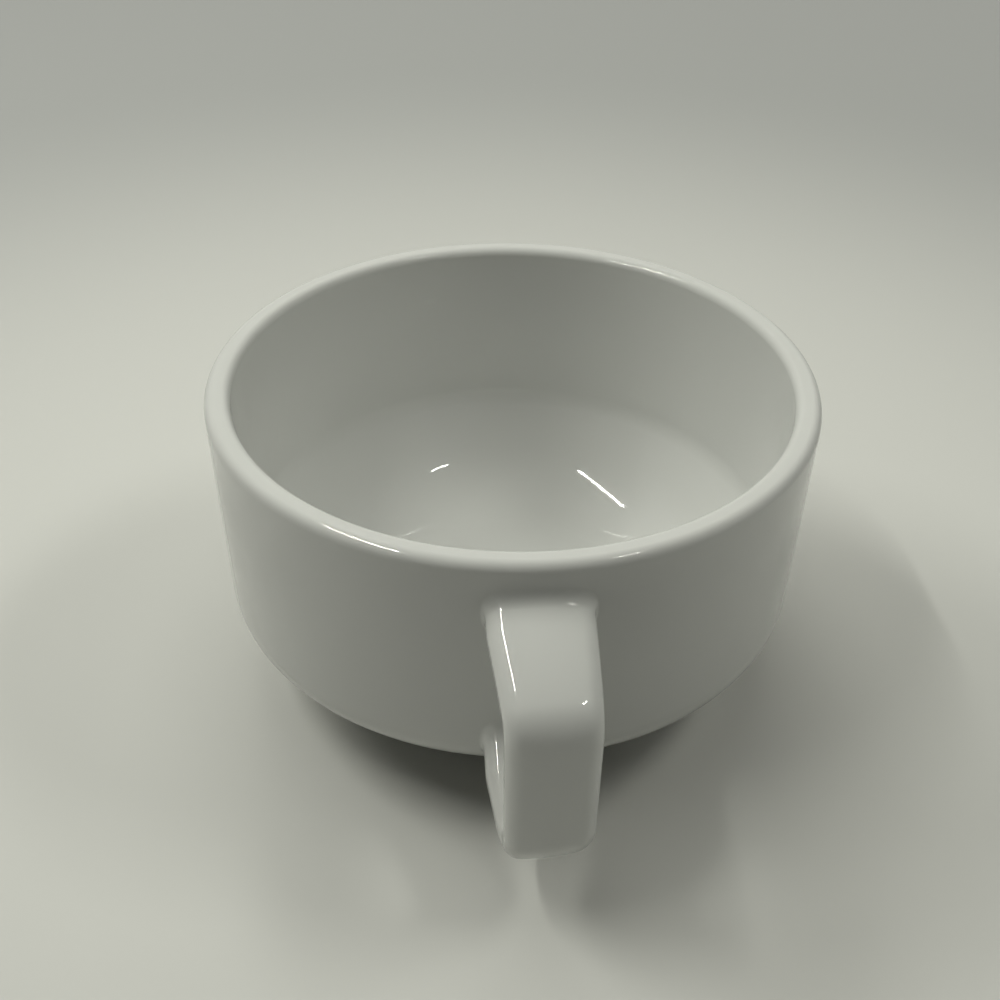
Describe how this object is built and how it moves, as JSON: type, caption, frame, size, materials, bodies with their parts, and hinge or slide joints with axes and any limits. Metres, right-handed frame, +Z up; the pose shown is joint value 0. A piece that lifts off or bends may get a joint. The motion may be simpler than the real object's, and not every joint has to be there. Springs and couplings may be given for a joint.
{
  "type": "soup mug",
  "caption": "Wide, low white porcelain soup mug with a drooping strap handle, a rounded heel and a set-in foot ring.",
  "frame": {"origin": "centre of the foot ring's standing face, on the plane that the mug stands on", "axes": "+Z up through the mouth, +X out through the handle, +Y completes the right-handed frame"},
  "size_m": [0.1294, 0.11, 0.0595],
  "materials": {
    "clay": "fired clay, bare and matt at the foot ring",
    "slip": "fired slip, matt, under the glaze",
    "glaze": "glossy white glaze"
  },
  "bodies": {
    "root": {"bowl": "clay", "handle": "clay", "upper_slip_joint": "slip", "lower_slip_joint": "slip", "inside_glaze": "glaze", "outside_glaze": "glaze", "handle_glaze": "glaze", "base_glaze": "glaze"}
  },
  "joints": []
}
